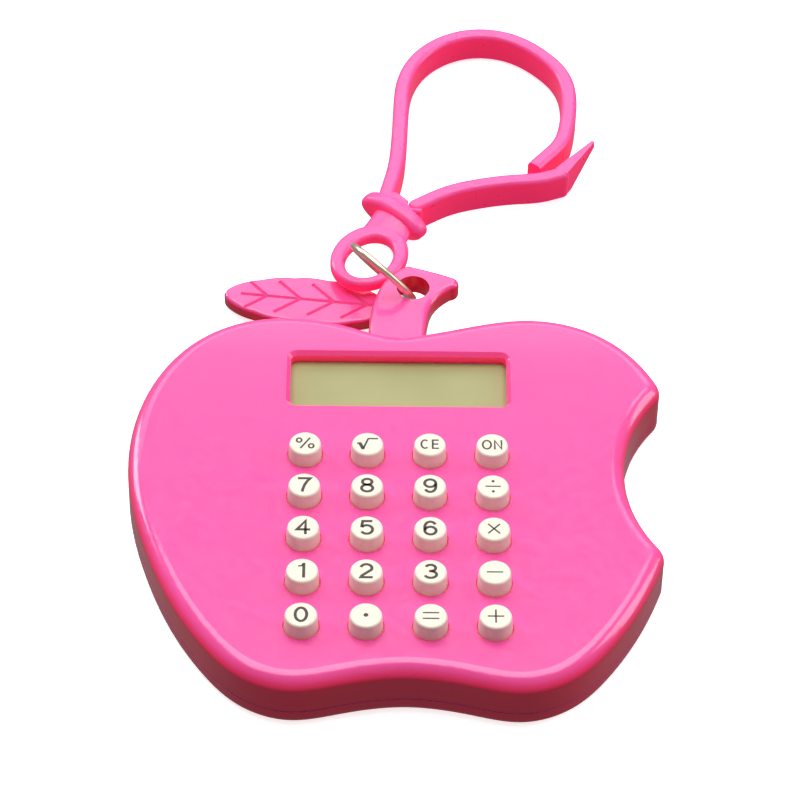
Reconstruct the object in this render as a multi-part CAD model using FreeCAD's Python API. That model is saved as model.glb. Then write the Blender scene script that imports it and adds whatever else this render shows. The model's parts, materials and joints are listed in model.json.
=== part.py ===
"""Key-ring calculator in an apple-shaped case, built as separate pieces in one frame.

Millimetres. The case lies on its flat back at z = 0, the keys face +Z, and +Y points
from the keypad to the display, the stem and the snap hook. x = 0 is the axis of the
apple and y = 0 is half way along it. The display and keypad sit a little to the left
of that axis.
"""
import FreeCAD, Part
import math
import os

V = FreeCAD.Vector
UP = V(0, 0, 1)

# ---------------------------------------------------------------- case
BODY_WIDTH = 80.4          # the whole apple, before the bite is taken out
BODY_LENGTH = 71.8
BODY_THICKNESS = 9.0
SIDE_WALL = 1.6
FRONT_PLATE = 1.5
REAR_PLATE = 1.2
PARTING_Z = 2.6
TOP_EDGE_RADIUS = 2.3
BOTTOM_EDGE_RADIUS = 1.2
INNER_EDGE_RADIUS = 0.8
PARTING_GROOVE_DEPTH = 0.3
PARTING_GROOVE_HEIGHT = 0.2
LIP_THICKNESS = 0.9
LIP_HEIGHT = 1.1
LIP_CLEARANCE = 0.15

# Half of the apple, from the notch at the stem round to the notch at the bottom,
# as fractions of half the width and half the length.
APPLE_PROFILE = (
    (0.000, 0.894), (0.200, 0.948), (0.448, 1.000), (0.650, 0.955),
    (0.794, 0.847), (0.915, 0.657), (1.000, 0.100), (0.925, -0.281),
    (0.833, -0.540), (0.706, -0.777), (0.580, -0.925), (0.405, -0.997),
    (0.224, -0.964), (0.000, -0.928),
)
BITE_RADIUS = 24.5
BITE_DEPTH = 8.6
BITE_Y = 4.6
BITE_CORNER_RADIUS = 3.0
OUTLINE_STATIONS = 240     # points used to follow the outline at a distance
NOTCH_Y = APPLE_PROFILE[0][1] * BODY_LENGTH / 2

# ---------------------------------------------------------------- keypad
FACE_AXIS_X = -1.15        # the line on which the display and the keypad are centred
KEYPAD_Y = -9.4
KEY_COLUMNS = 4
KEY_ROWS = 5
KEY_PITCH_X = 9.0
KEY_PITCH_Y = 8.1
KEY_TOP_DIAMETER = 4.5
KEY_BASE_DIAMETER = 4.85
KEY_HOLE_CLEARANCE = 0.17
KEY_HOLE_DIAMETER = KEY_BASE_DIAMETER + 2 * KEY_HOLE_CLEARANCE
KEY_HEIGHT = 2.45          # above the face
KEY_TRAVEL = 0.9
KEY_EDGE_RADIUS = 0.35
KEY_FLANGE_MARGIN = 0.675
KEY_FLANGE_DIAMETER = KEY_BASE_DIAMETER + 2 * KEY_FLANGE_MARGIN
KEY_FLANGE_THICKNESS = 0.6
KEY_FLANGE_GAP = 0.15      # between the flange and the inside of the face

# ---------------------------------------------------------------- display
DISPLAY_Y = 22.25
WINDOW_WIDTH = 31.9
WINDOW_HEIGHT = 10.2
WINDOW_CORNER_RADIUS = 1.0
WINDOW_BEVEL = 0.6
WINDOW_RIB_WIDTH = 1.4
WINDOW_RIB_HEIGHT = 0.5
GLASS_BORDER = 1.0         # glass hidden behind the window frame on each side
POLARISER_THICKNESS = 0.2
GLASS_THICKNESS = 0.7
CONTACT_LEDGE = 2.6
ZEBRA_WIDTH = 1.6
ZEBRA_END_GAP = 3.0
FOAM_INSET = 2.0

# ---------------------------------------------------------------- circuit board
BOARD_TOP_Z = 4.0
BOARD_THICKNESS = 0.8
BOARD_WIDTH = 35.4
BOARD_TOP_Y = 28.0
BOARD_BOTTOM_MARGIN = 3.6  # past the lowest row of keys
MAT_THICKNESS = 0.6
MAT_MARGIN = 3.3
DOME_BASE_DIAMETER = 6.0
DOME_TOP_DIAMETER = 3.4
DOME_WALL = 0.4
DOME_KEY_GAP = 0.05
PLUNGER_DIAMETER = 2.4
PILL_DIAMETER = 2.0
PILL_THICKNESS = 0.2
BOARD_SCREW_DIAMETER = 1.4
BOARD_SCREW_HEAD_DIAMETER = 2.6
BOARD_SCREW_HEAD_HEIGHT = 0.7
BOARD_SCREW_DEPTH = 2.4
BOARD_BOSS_DIAMETER = 3.0
BOSS_HOLE_CLEARANCE = 0.3
UPPER_SCREW_SPREAD = 15.8
UPPER_SCREW_Y = 12.9
BLOB_DIAMETER = 11.0
BLOB_HEIGHT = 1.2
BLOB_Y = 4.0
RESISTOR_SIZE = (2.0, 1.25, 0.5)
CAPACITOR_SIZE = (3.2, 1.6, 0.9)
CHIP_PARTS_SPREAD = 9.5

# ---------------------------------------------------------------- battery
CELL_DIAMETER = 11.6
CELL_HEIGHT = 3.05
CELL_X = -29.0
CELL_Y = -0.5
CELL_CLEARANCE = 0.35
COVER_DIAMETER = CELL_DIAMETER + 3.3
COVER_THICKNESS = 0.9
COVER_CLEARANCE = 0.15
COVER_SUNK = 0.1
PLUG_DIAMETER = CELL_DIAMETER + 0.4
PLUG_HEIGHT = 1.05
LUG_RADIUS = CELL_DIAMETER / 2 + 1.1
LUG_WIDTH = 3.0
LUG_THICKNESS = 0.5
LUG_GROOVE_CLEARANCE = 0.15
BATTERY_BOSS_DIAMETER = COVER_DIAMETER + 2.1
BATTERY_BOSS_TOP_Z = 3.0
COIN_SLOT = (8.0, 1.3, 0.6)
WELL_WALL = 0.8
WELL_TOP_Z = 5.0
WELL_GAP_WIDTH = 7.0
CONTACT_THICKNESS = 0.25
CONTACT_WIDTH = 2.6
CONTACT_CLEARANCE = 0.1
CONTACT_OVERLAP = 0.7
CELL_BEVEL = 0.4
CELL_CAP_INSET = 0.8
CELL_CAP_HEIGHT = 0.15

# ---------------------------------------------------------------- case screws
CASE_BOSS_DIAMETER = 4.4
CASE_SCREW_DIAMETER = 1.8
CASE_SCREW_HEAD_DIAMETER = 3.2
CASE_SCREW_HEAD_HEIGHT = 0.7
CASE_SCREW_DEPTH = 5.0
CASE_SCREW_SUNK = 0.2
SCREW_CLEARANCE = 0.1
CROSS_LENGTH = 0.62        # of the head
CROSS_WIDTH = 0.16
CROSS_DEPTH = 0.5
UPPER_BOSS = (0.66 * BODY_WIDTH / 2, 0.557 * BODY_LENGTH / 2)
LOWER_BOSS = (0.525 * BODY_WIDTH / 2, -0.786 * BODY_LENGTH / 2)

# ---------------------------------------------------------------- stem and leaf
STEM_BOTTOM_Z = 3.0
STEM_TOP_Z = 6.5
STEM_BASE_WIDTH = 8.6
STEM_BASE_X = -1.35
STEM_CLEARANCE = 0.12
STEM_EDGE_RADIUS = 1.0
TONGUE_WIDTH = 12.5
TONGUE_THICKNESS = 1.3
TONGUE_Y = NOTCH_Y - 2.0
EYELET_X = 1.05
EYELET_Y = NOTCH_Y + 11.8
EYELET_DIAMETER = 5.0
# The stem's sides from its foot upwards, and its top, all from the eyelet's centre.
STEM_LEFT_SIDE = ((-6.7, -9.6), (-6.6, -7.0), (-6.25, -3.9), (-5.1, 0.4))
STEM_CROWN = (-0.8, 5.2)
STEM_BROW = (3.2, 3.9)
STEM_TIP = (6.1, 2.75)
STEM_NOSE = (6.95, 1.25)
STEM_CHIN = (5.8, 0.15)
STEM_RIGHT_SIDE = ((4.3, -1.2), (3.1, -2.9), (2.3, -5.6), (1.9, -9.6))
LEAF_ROOT = (EYELET_X - 3.4, EYELET_Y - 0.5)
LEAF_LENGTH = 25.6
LEAF_WIDTH = 10.0
LEAF_TURN = 173.5          # degrees from +X to the direction of the leaf
LEAF_BOTTOM_Z = 0.9
LEAF_THICKNESS = 1.9
LEAF_EDGE_RADIUS = 0.7
LEAF_TEETH = 5
LEAF_TOOTH = 0.2
VEIN_WIDTH = 1.2
VEIN_DEPTH = 0.28
VEIN_TURN = 42.0
LEAF_BLOCK_WIDTH = 5.4
LEAF_BLOCK_LENGTH = 2.6

# ---------------------------------------------------------------- key ring
RING_WIRE_DIAMETER = 1.1
RING_RADIUS = 5.97         # to the middle of the wire
RING_CENTRE = V(EYELET_X - 4.54, EYELET_Y + 3.055, 6.63)
RING_AXIS = V(0.654, 0.560, 0.509)

# ---------------------------------------------------------------- snap hook
HOOK_EYE = V(EYELET_X - 6.7, EYELET_Y + 8.505, 4.3)
HOOK_HEADING = -26.0       # degrees from +Y
HOOK_DROP = -1.85          # degrees, nose down to the table
EYE_HOLE_WIDTH = 6.8
EYE_HOLE_LENGTH = 9.7
EYE_HOLE_SHIFT = (0.2, -0.45)  # thins the rim away from the neck
EYE_RIM = 2.3
EYE_HEIGHT = 2.2
EYE_EDGE = 0.85
NECK = ((4.9, 7.6, 1.6), (6.6, 7.3, 2.4), (10.0, 7.2, 3.8))  # distance, width, height
NECK_SHIFT = -0.25
COLLAR_CENTRE = (-0.9, 10.5)
COLLAR_TURN = -15.0
COLLAR_THICKNESS = 2.9
COLLAR_WIDTH = 12.2
COLLAR_HEIGHT = 5.6
COLLAR_EDGE = 1.1
BAND_HEIGHT = 4.8
BAND_THICKNESS = 2.5
BAND_TOP_EDGE = 0.85
BAND_LOWER_EDGE = 0.4
BAND_STATIONS = 36
LOOP_END_RADIUS = BAND_THICKNESS / 2
LOOP_START_TURN = 106.0    # degrees from the hook's own x axis
LOOP_PATH = (
    (-3.0, 11.6), (-4.9, 18.9), (-7.75, 26.3), (-10.4, 32.3), (-12.8, 38.4), (-13.5, 44.3),
    (-12.0, 49.9), (-8.3, 54.3), (-2.6, 56.3), (3.8, 55.1), (9.1, 51.9), (12.6, 46.7),
    (14.8, 40.9), (15.6, 35.9), (14.95, 32.2),
)
LOOP_END_GAP = 0.22        # between the loop's end and the gate
LOOP_END_BACK = 0.74       # from the gate's last bend but one, back along the gate
# Web between the two arms, standing on the collar.
YOKE = ((-4.1, 10.8), (3.3, 10.8), (3.3, 12.6), (0.4, 12.7), (-1.8, 13.6), (-4.1, 12.6))
YOKE_EDGE = 0.6
GATE_PIVOT = (1.9, 12.6)
GATE_KNUCKLE = BAND_THICKNESS / 2
GATE_CLEARANCE = 0.22
GATE_PATH = ((4.8, 17.6), (8.5, 21.5), (13.0, 25.0), (16.6, 27.5), (18.8, 29.9))
GATE_START_TURN = 60.0
GATE_OPENING = 18.0
TAB_LENGTH = 9.0
TAB_TURN = 80.0
TAB_LEVEL_LENGTH = 2.0
TAB_ROOT_THICKNESS = 2.1
TAB_TIP_HEIGHT = 1.2
TAB_TIP_THICKNESS = 0.5
ELBOW_RADIUS = BAND_THICKNESS / 2


def box(x0, x1, y0, y1, z0, z1):
    return Part.makeBox(x1 - x0, y1 - y0, z1 - z0, V(x0, y0, z0))


def disc(x, y, z0, z1, diameter):
    return Part.makeCylinder(diameter / 2, z1 - z0, V(x, y, z0))


def rounded_plate(x, y, z0, z1, width, height, radius):
    """A flat rectangular plate centred on x, y with round corners."""
    plate = box(x - width / 2, x + width / 2, y - height / 2, y + height / 2, z0, z1)
    uprights = [e for e in plate.Edges if abs(e.tangentAt(e.FirstParameter).z) > 0.9]
    return plate.makeFillet(radius, uprights)


def prism(wire, z0, z1):
    face = Part.Face(wire)
    face.translate(V(0, 0, z0))
    return face.extrude(V(0, 0, z1 - z0))


def edges_at(shape, z):
    return [e for e in shape.Edges
            if abs(e.BoundBox.ZMin - z) < 1e-3 and abs(e.BoundBox.ZMax - z) < 1e-3]


# ---------------------------------------------------------------- outline of the apple
def apple_outline():
    half = [V(x * BODY_WIDTH / 2, y * BODY_LENGTH / 2, 0) for x, y in APPLE_PROFILE]
    mirrored = [V(-p.x, p.y, 0) for p in half[-2:0:-1]]
    curve = Part.BSplineCurve()
    curve.interpolate(Points=half + mirrored, PeriodicFlag=True)
    apple = prism(Part.Wire(curve.toShape()), 0, 1)
    bite_x = BODY_WIDTH / 2 - BITE_DEPTH + BITE_RADIUS
    apple = apple.cut(disc(bite_x, BITE_Y, -1, 2, 2 * BITE_RADIUS))
    corners = [e for e in apple.Edges
               if e.BoundBox.ZLength > 0.9 and e.BoundBox.XLength < 1e-6 and e.BoundBox.XMin > 0
               and abs(e.BoundBox.XMin - BODY_WIDTH / 2) < BITE_DEPTH]
    apple = apple.makeFillet(BITE_CORNER_RADIUS, corners)
    base = [f for f in apple.Faces if abs(f.BoundBox.ZMax) < 1e-6][0]
    return base.OuterWire


OUTLINE = apple_outline()


def inset(distance):
    """The outline moved inwards by an even distance."""
    rim = OUTLINE.discretize(Number=OUTLINE_STATIONS + 1)[:-1]
    turning = sum(a.x * b.y - b.x * a.y for a, b in zip(rim, rim[1:] + rim[:1]))
    side = math.copysign(distance, turning)
    moved = []
    for before, here, after in zip(rim[-1:] + rim[:-1], rim, rim[1:] + rim[:1]):
        along = (after - before).normalize()
        moved.append(here + V(-along.y, along.x, 0) * side)
    curve = Part.BSplineCurve()
    curve.interpolate(Points=moved, PeriodicFlag=True)
    return Part.Wire(curve.toShape())


FACE_INSIDE_Z = BODY_THICKNESS - FRONT_PLATE
KEY_TOP_Z = BODY_THICKNESS + KEY_HEIGHT
KEY_FLANGE_TOP_Z = FACE_INSIDE_Z - KEY_FLANGE_GAP
KEY_BOTTOM_Z = KEY_FLANGE_TOP_Z - KEY_FLANGE_THICKNESS
BOARD_BOTTOM_Z = BOARD_TOP_Z - BOARD_THICKNESS
MAT_TOP_Z = BOARD_TOP_Z + MAT_THICKNESS
DOME_TOP_Z = KEY_BOTTOM_Z - DOME_KEY_GAP
PILL_TOP_Z = BOARD_TOP_Z + KEY_TRAVEL - DOME_KEY_GAP + PILL_THICKNESS
DISPLAY_TOP_Z = FACE_INSIDE_Z - WINDOW_RIB_HEIGHT
GLASS_TOP_Z = DISPLAY_TOP_Z - POLARISER_THICKNESS
GLASS_MIDDLE_Z = GLASS_TOP_Z - GLASS_THICKNESS
GLASS_BOTTOM_Z = GLASS_MIDDLE_Z - GLASS_THICKNESS
REFLECTOR_BOTTOM_Z = GLASS_BOTTOM_Z - POLARISER_THICKNESS
GLASS_WIDTH = WINDOW_WIDTH + 2 * GLASS_BORDER
GLASS_HEIGHT = WINDOW_HEIGHT + 2 * GLASS_BORDER
COVER_BOTTOM_Z = COVER_SUNK
COVER_TOP_Z = COVER_BOTTOM_Z + COVER_THICKNESS
PLUG_TOP_Z = COVER_TOP_Z + PLUG_HEIGHT
CELL_BOTTOM_Z = PLUG_TOP_Z + CONTACT_CLEARANCE
CELL_TOP_Z = CELL_BOTTOM_Z + CELL_HEIGHT
WELL_RADIUS = CELL_DIAMETER / 2 + CELL_CLEARANCE


def key_centres():
    """Row by row from the display down, left to right."""
    for row in range(KEY_ROWS):
        for column in range(KEY_COLUMNS):
            x = FACE_AXIS_X + (column - (KEY_COLUMNS - 1) / 2) * KEY_PITCH_X
            y = KEYPAD_Y + ((KEY_ROWS - 1) / 2 - row) * KEY_PITCH_Y
            yield row + 1, column + 1, x, y


KEYPAD_HALF_WIDTH = (KEY_COLUMNS - 1) / 2 * KEY_PITCH_X
KEYPAD_HALF_LENGTH = (KEY_ROWS - 1) / 2 * KEY_PITCH_Y
BOARD_BOTTOM_Y = KEYPAD_Y - KEYPAD_HALF_LENGTH - BOARD_BOTTOM_MARGIN
LOWER_SCREW_Y = KEYPAD_Y - KEYPAD_HALF_LENGTH + KEY_PITCH_Y / 2
BOARD_SCREWS = (
    (FACE_AXIS_X - UPPER_SCREW_SPREAD, UPPER_SCREW_Y),
    (FACE_AXIS_X + UPPER_SCREW_SPREAD, UPPER_SCREW_Y),
    (FACE_AXIS_X - KEY_PITCH_X, LOWER_SCREW_Y),
    (FACE_AXIS_X + KEY_PITCH_X, LOWER_SCREW_Y),
)
CASE_SCREWS = tuple((side * x, y) for x, y in (UPPER_BOSS, LOWER_BOSS) for side in (-1, 1))


# ---------------------------------------------------------------- case
def whole_case():
    body = prism(OUTLINE, 0, BODY_THICKNESS)
    body = body.makeFillet(TOP_EDGE_RADIUS, edges_at(body, BODY_THICKNESS))
    body = body.makeFillet(BOTTOM_EDGE_RADIUS, edges_at(body, 0))
    groove_bottom = PARTING_Z - PARTING_GROOVE_HEIGHT / 2
    groove_top = PARTING_Z + PARTING_GROOVE_HEIGHT / 2
    groove = prism(OUTLINE, groove_bottom, groove_top)
    groove = groove.cut(prism(inset(PARTING_GROOVE_DEPTH), groove_bottom, groove_top))
    return body.cut(groove)


def cavity():
    hollow = prism(inset(SIDE_WALL), REAR_PLATE, FACE_INSIDE_Z)
    return hollow.makeFillet(INNER_EDGE_RADIUS, edges_at(hollow, FACE_INSIDE_Z))


def window():
    hole = rounded_plate(FACE_AXIS_X, DISPLAY_Y, DISPLAY_TOP_Z, BODY_THICKNESS,
                         WINDOW_WIDTH, WINDOW_HEIGHT, WINDOW_CORNER_RADIUS)
    spread = 2 * WINDOW_BEVEL
    mouth = rounded_plate(FACE_AXIS_X, DISPLAY_Y, BODY_THICKNESS - WINDOW_BEVEL, BODY_THICKNESS,
                          WINDOW_WIDTH + spread, WINDOW_HEIGHT + spread,
                          WINDOW_CORNER_RADIUS + WINDOW_BEVEL)
    mouth = mouth.makeChamfer(WINDOW_BEVEL - 0.01, edges_at(mouth, BODY_THICKNESS - WINDOW_BEVEL))
    return hole.fuse(mouth)


def stem_slot():
    half = STEM_BASE_WIDTH / 2 + STEM_CLEARANCE
    return box(STEM_BASE_X - half, STEM_BASE_X + half, TONGUE_Y, BODY_LENGTH,
               PARTING_Z - 1, STEM_TOP_Z + STEM_CLEARANCE)


def front_case(body, hollow):
    shell = body.common(box(-BODY_WIDTH, BODY_WIDTH, -BODY_LENGTH, BODY_LENGTH,
                            PARTING_Z, BODY_THICKNESS))
    shell = shell.cut(hollow)
    rib = 2 * WINDOW_RIB_WIDTH
    shell = shell.fuse(rounded_plate(FACE_AXIS_X, DISPLAY_Y, DISPLAY_TOP_Z, FACE_INSIDE_Z,
                                     WINDOW_WIDTH + rib, WINDOW_HEIGHT + rib,
                                     WINDOW_CORNER_RADIUS))
    for x, y in BOARD_SCREWS:
        boss = disc(x, y, BOARD_TOP_Z, FACE_INSIDE_Z, BOARD_BOSS_DIAMETER)
        pilot = disc(x, y, BOARD_TOP_Z, BOARD_TOP_Z + BOARD_SCREW_DEPTH, BOARD_SCREW_DIAMETER)
        shell = shell.fuse(boss).cut(pilot)
    for x, y in CASE_SCREWS:
        boss = disc(x, y, PARTING_Z + LIP_CLEARANCE, FACE_INSIDE_Z, CASE_BOSS_DIAMETER)
        pilot = disc(x, y, 0, CASE_SCREW_SUNK + CASE_SCREW_DEPTH + SCREW_CLEARANCE,
                     CASE_SCREW_DIAMETER)
        shell = shell.fuse(boss).cut(pilot)
    for row, column, x, y in key_centres():
        shell = shell.cut(disc(x, y, FACE_INSIDE_Z - 1, BODY_THICKNESS, KEY_HOLE_DIAMETER))
    return shell.cut(window()).cut(stem_slot())


def rear_case(body, hollow):
    shell = body.common(box(-BODY_WIDTH, BODY_WIDTH, -BODY_LENGTH, BODY_LENGTH, 0, PARTING_Z))
    shell = shell.cut(hollow)
    lip_outer = inset(SIDE_WALL + LIP_CLEARANCE)
    lip_inner = inset(SIDE_WALL + LIP_CLEARANCE + LIP_THICKNESS)
    lip = prism(lip_outer, REAR_PLATE, PARTING_Z + LIP_HEIGHT)
    shell = shell.fuse(lip.cut(prism(lip_inner, REAR_PLATE, PARTING_Z + LIP_HEIGHT)))
    shell = shell.fuse(prism(inset(SIDE_WALL / 2), REAR_PLATE, PARTING_Z).cut(
        prism(lip_inner, REAR_PLATE, PARTING_Z)))
    for x, y in CASE_SCREWS:
        post = disc(x, y, REAR_PLATE, PARTING_Z, CASE_BOSS_DIAMETER)
        bore = disc(x, y, 0, PARTING_Z, CASE_SCREW_DIAMETER + 2 * SCREW_CLEARANCE)
        seat = disc(x, y, 0, CASE_SCREW_SUNK + CASE_SCREW_HEAD_HEIGHT,
                    CASE_SCREW_HEAD_DIAMETER + 2 * SCREW_CLEARANCE)
        shell = shell.fuse(post).cut(bore.fuse(seat))
    boss = disc(CELL_X, CELL_Y, 0, BATTERY_BOSS_TOP_Z, BATTERY_BOSS_DIAMETER)
    boss = boss.common(body).common(prism(lip_outer, 0, PARTING_Z + LIP_HEIGHT))
    shell = shell.fuse(boss)
    well = disc(CELL_X, CELL_Y, REAR_PLATE, WELL_TOP_Z, 2 * (WELL_RADIUS + WELL_WALL))
    shell = shell.fuse(well).cut(battery_room())
    tongue_half = TONGUE_WIDTH / 2 + STEM_CLEARANCE
    recess = box(STEM_BASE_X - tongue_half, STEM_BASE_X + tongue_half,
                 TONGUE_Y - TONGUE_THICKNESS - STEM_CLEARANCE, BODY_LENGTH,
                 PARTING_Z, PARTING_Z + LIP_HEIGHT)
    return shell.cut(recess)


def battery_room():
    """The cell's space, the counterbore, the bayonet groove and its two ways in."""
    groove_bottom = PLUG_TOP_Z - LUG_THICKNESS - LUG_GROOVE_CLEARANCE
    groove_top = PLUG_TOP_Z + LUG_GROOVE_CLEARANCE
    reach = LUG_RADIUS + LUG_GROOVE_CLEARANCE
    room = disc(CELL_X, CELL_Y, 0, WELL_TOP_Z, 2 * WELL_RADIUS)
    room = room.fuse(disc(CELL_X, CELL_Y, 0, COVER_TOP_Z + COVER_CLEARANCE,
                          COVER_DIAMETER + 2 * COVER_CLEARANCE))
    room = room.fuse(disc(CELL_X, CELL_Y, groove_bottom, groove_top, 2 * reach))
    half = LUG_WIDTH / 2 + LUG_GROOVE_CLEARANCE
    room = room.fuse(box(CELL_X - half, CELL_X + half, CELL_Y - reach, CELL_Y + reach,
                         0, groove_top))
    gap = WELL_GAP_WIDTH / 2
    return room.fuse(box(CELL_X, CELL_X + WELL_RADIUS + 2 * WELL_WALL,
                         CELL_Y - gap, CELL_Y + gap, BATTERY_BOSS_TOP_Z, WELL_TOP_Z))


# ---------------------------------------------------------------- keypad
def key_cap(x, y):
    shaft = Part.makeCone(KEY_BASE_DIAMETER / 2, KEY_TOP_DIAMETER / 2,
                          KEY_HEIGHT, V(x, y, BODY_THICKNESS))
    shaft = shaft.makeFillet(KEY_EDGE_RADIUS, edges_at(shaft, KEY_TOP_Z))
    neck = disc(x, y, KEY_BOTTOM_Z, BODY_THICKNESS, KEY_BASE_DIAMETER)
    flange = disc(x, y, KEY_BOTTOM_Z, KEY_FLANGE_TOP_Z, KEY_FLANGE_DIAMETER)
    return shaft.fuse(neck).fuse(flange).removeSplitter()


def dome(x, y, top_z, base_diameter, top_diameter):
    return Part.makeCone(base_diameter / 2, top_diameter / 2, top_z - MAT_TOP_Z,
                         V(x, y, MAT_TOP_Z))


def dome_mat():
    mat = rounded_plate(FACE_AXIS_X, KEYPAD_Y, BOARD_TOP_Z, MAT_TOP_Z,
                        2 * (KEYPAD_HALF_WIDTH + MAT_MARGIN),
                        2 * (KEYPAD_HALF_LENGTH + MAT_MARGIN), WINDOW_CORNER_RADIUS)
    for row, column, x, y in key_centres():
        mat = mat.fuse(dome(x, y, DOME_TOP_Z, DOME_BASE_DIAMETER, DOME_TOP_DIAMETER))
        mat = mat.cut(dome(x, y, DOME_TOP_Z - 2 * DOME_WALL, DOME_BASE_DIAMETER - 2 * DOME_WALL,
                           DOME_TOP_DIAMETER - 2 * DOME_WALL))
        mat = mat.cut(disc(x, y, BOARD_TOP_Z, MAT_TOP_Z, DOME_BASE_DIAMETER - 2 * DOME_WALL))
        mat = mat.fuse(disc(x, y, PILL_TOP_Z, DOME_TOP_Z - DOME_WALL, PLUNGER_DIAMETER))
    for x, y in BOARD_SCREWS[2:]:
        mat = mat.cut(disc(x, y, BOARD_TOP_Z, MAT_TOP_Z,
                           BOARD_BOSS_DIAMETER + 2 * BOSS_HOLE_CLEARANCE))
    return mat


def carbon_pills():
    return Part.makeCompound([disc(x, y, PILL_TOP_Z - PILL_THICKNESS, PILL_TOP_Z, PILL_DIAMETER)
                              for row, column, x, y in key_centres()])


# ---------------------------------------------------------------- circuit board
def circuit_board():
    middle = (BOARD_TOP_Y + BOARD_BOTTOM_Y) / 2
    board = rounded_plate(FACE_AXIS_X, middle, BOARD_BOTTOM_Z, BOARD_TOP_Z,
                          BOARD_WIDTH, BOARD_TOP_Y - BOARD_BOTTOM_Y, WINDOW_CORNER_RADIUS)
    for x, y in BOARD_SCREWS:
        board = board.cut(disc(x, y, BOARD_BOTTOM_Z, BOARD_TOP_Z,
                               BOARD_SCREW_DIAMETER + 2 * SCREW_CLEARANCE))
    return board


def chip_blob():
    radius = BLOB_DIAMETER / 2
    sphere_radius = (radius ** 2 + BLOB_HEIGHT ** 2) / (2 * BLOB_HEIGHT)
    ball = Part.makeSphere(sphere_radius, V(FACE_AXIS_X, BLOB_Y,
                                            BOARD_BOTTOM_Z - BLOB_HEIGHT + sphere_radius))
    return ball.common(disc(FACE_AXIS_X, BLOB_Y, BOARD_BOTTOM_Z - BLOB_HEIGHT,
                            BOARD_BOTTOM_Z, BLOB_DIAMETER))


def chip_part(x, y, size):
    width, length, height = size
    return box(x - width / 2, x + width / 2, y - length / 2, y + length / 2,
               BOARD_BOTTOM_Z - height, BOARD_BOTTOM_Z)


def cross_recess(x, y, z0, z1, head_diameter):
    long = CROSS_LENGTH * head_diameter / 2
    short = CROSS_WIDTH * head_diameter / 2
    return box(x - long, x + long, y - short, y + short, z0, z1).fuse(
        box(x - short, x + short, y - long, y + long, z0, z1))


def screws(centres, head_bottom_z, head_height, head_diameter, diameter, depth):
    group = []
    for x, y in centres:
        head = disc(x, y, head_bottom_z, head_bottom_z + head_height, head_diameter)
        recess = cross_recess(x, y, head_bottom_z, head_bottom_z + CROSS_DEPTH * head_height,
                              head_diameter)
        shank = disc(x, y, head_bottom_z + head_height, head_bottom_z + depth,
                     diameter)
        group.append(head.cut(recess).fuse(shank))
    return Part.makeCompound(group)


# ---------------------------------------------------------------- display
def display_layer(z0, z1, lower_cut):
    x0 = FACE_AXIS_X - GLASS_WIDTH / 2
    y0 = DISPLAY_Y - GLASS_HEIGHT / 2
    return box(x0, x0 + GLASS_WIDTH, y0 + lower_cut, y0 + GLASS_HEIGHT, z0, z1)


def zebra_strip():
    y0 = DISPLAY_Y - GLASS_HEIGHT / 2 + (CONTACT_LEDGE - ZEBRA_WIDTH) / 2
    half = GLASS_WIDTH / 2 - ZEBRA_END_GAP
    return box(FACE_AXIS_X - half, FACE_AXIS_X + half, y0, y0 + ZEBRA_WIDTH,
               BOARD_TOP_Z, GLASS_MIDDLE_Z)


def display_foam():
    half = GLASS_WIDTH / 2 - FOAM_INSET
    y0 = DISPLAY_Y - GLASS_HEIGHT / 2 + CONTACT_LEDGE + FOAM_INSET
    y1 = DISPLAY_Y + GLASS_HEIGHT / 2 - FOAM_INSET
    return box(FACE_AXIS_X - half, FACE_AXIS_X + half, y0, y1, BOARD_TOP_Z, REFLECTOR_BOTTOM_Z)


# ---------------------------------------------------------------- battery
def battery_cell():
    cap_diameter = CELL_DIAMETER - 2 * CELL_CAP_INSET
    can = disc(CELL_X, CELL_Y, CELL_BOTTOM_Z, CELL_TOP_Z - CELL_CAP_HEIGHT, CELL_DIAMETER)
    can = can.makeFillet(CELL_BEVEL, edges_at(can, CELL_BOTTOM_Z))
    return can.fuse(disc(CELL_X, CELL_Y, CELL_TOP_Z - CELL_CAP_HEIGHT, CELL_TOP_Z, cap_diameter))


def contact_strip(y, inner_x, z):
    """A flat tongue from the cell to the edge of the board, folded down on to it."""
    board_edge = FACE_AXIS_X - BOARD_WIDTH / 2
    end = board_edge + CONTACT_OVERLAP
    half = CONTACT_WIDTH / 2
    flat = box(inner_x, end, y - half, y + half, z, z + CONTACT_THICKNESS)
    drop = box(end - CONTACT_THICKNESS, end, y - half, y + half, BOARD_TOP_Z, z)
    foot = box(end - CONTACT_OVERLAP, end, y - half, y + half,
               BOARD_TOP_Z, BOARD_TOP_Z + CONTACT_THICKNESS)
    return flat.fuse(drop).fuse(foot)


def negative_contact():
    return contact_strip(CELL_Y + CONTACT_WIDTH / 2 + CONTACT_CLEARANCE,
                         CELL_X - CELL_DIAMETER / 4, CELL_TOP_Z + CONTACT_CLEARANCE)


def positive_contact():
    y = CELL_Y - CONTACT_WIDTH / 2 - CONTACT_CLEARANCE
    x = CELL_X + CELL_DIAMETER / 2 + CONTACT_CLEARANCE
    z = BOARD_TOP_Z + CONTACT_THICKNESS
    half = CONTACT_WIDTH / 2
    upright = box(x, x + CONTACT_THICKNESS, y - half, y + half,
                  BATTERY_BOSS_TOP_Z + CONTACT_CLEARANCE, z + CONTACT_THICKNESS)
    return contact_strip(y, x, z).fuse(upright)


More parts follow.
